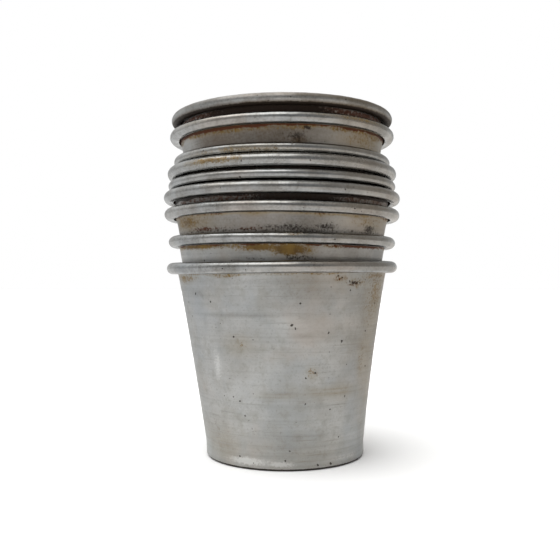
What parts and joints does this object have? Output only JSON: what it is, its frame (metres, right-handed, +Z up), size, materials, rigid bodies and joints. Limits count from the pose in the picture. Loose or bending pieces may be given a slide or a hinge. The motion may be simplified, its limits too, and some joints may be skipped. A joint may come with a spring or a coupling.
{
  "type": "measuring cup set",
  "caption": "Nested stack of plain tapered aluminium cups with thick rolled, wired rims; each cup lifts out of the one below.",
  "frame": {"origin": "centre of the bottom cup's underside, on the surface that the stack stands on", "axes": "+Z up along the common axis of the cups. The cups are turned about +Z, so +X and +Y are equal; +Y points away from the picture's camera and +X to its right"},
  "size_m": [0.0892, 0.0892, 0.1275],
  "materials": {
    "aluminium": "satin spun aluminium, aged: dull grey oxide, faint turning lines, pits, brown baked-on grease under the rims",
    "wire_steel": "plain drawn steel wire with a skin of brown rust"
  },
  "bodies": {
    "cup_1": {"cup_1_shell": "aluminium", "cup_1_rim_wire": "wire_steel"},
    "cup_2": {"cup_2_shell": "aluminium", "cup_2_rim_wire": "wire_steel"},
    "cup_3": {"cup_3_shell": "aluminium", "cup_3_rim_wire": "wire_steel"},
    "cup_4": {"cup_4_shell": "aluminium", "cup_4_rim_wire": "wire_steel"},
    "cup_5": {"cup_5_shell": "aluminium", "cup_5_rim_wire": "wire_steel"},
    "cup_6": {"cup_6_shell": "aluminium", "cup_6_rim_wire": "wire_steel"},
    "cup_7": {"cup_7_shell": "aluminium", "cup_7_rim_wire": "wire_steel"},
    "cup_8": {"cup_8_shell": "aluminium", "cup_8_rim_wire": "wire_steel"},
    "cup_9": {"cup_9_shell": "aluminium", "cup_9_rim_wire": "wire_steel"}
  },
  "joints": [
    {"name": "cup_2_lift", "type": "slide", "parent": "cup_1", "child": "cup_2", "axis": [0, 0, 1], "range_m": [0, 0.075]},
    {"name": "cup_3_lift", "type": "slide", "parent": "cup_2", "child": "cup_3", "axis": [0, 0, 1], "range_m": [0, 0.075]},
    {"name": "cup_4_lift", "type": "slide", "parent": "cup_3", "child": "cup_4", "axis": [0, 0, 1], "range_m": [0, 0.075]},
    {"name": "cup_5_lift", "type": "slide", "parent": "cup_4", "child": "cup_5", "axis": [0, 0, 1], "range_m": [0, 0.075]},
    {"name": "cup_6_lift", "type": "slide", "parent": "cup_5", "child": "cup_6", "axis": [0, 0, 1], "range_m": [0, 0.075]},
    {"name": "cup_7_lift", "type": "slide", "parent": "cup_6", "child": "cup_7", "axis": [0, 0, 1], "range_m": [0, 0.075]},
    {"name": "cup_8_lift", "type": "slide", "parent": "cup_7", "child": "cup_8", "axis": [0, 0, 1], "range_m": [0, 0.075]},
    {"name": "cup_9_lift", "type": "slide", "parent": "cup_8", "child": "cup_9", "axis": [0, 0, 1], "range_m": [0, 0.075]}
  ]
}
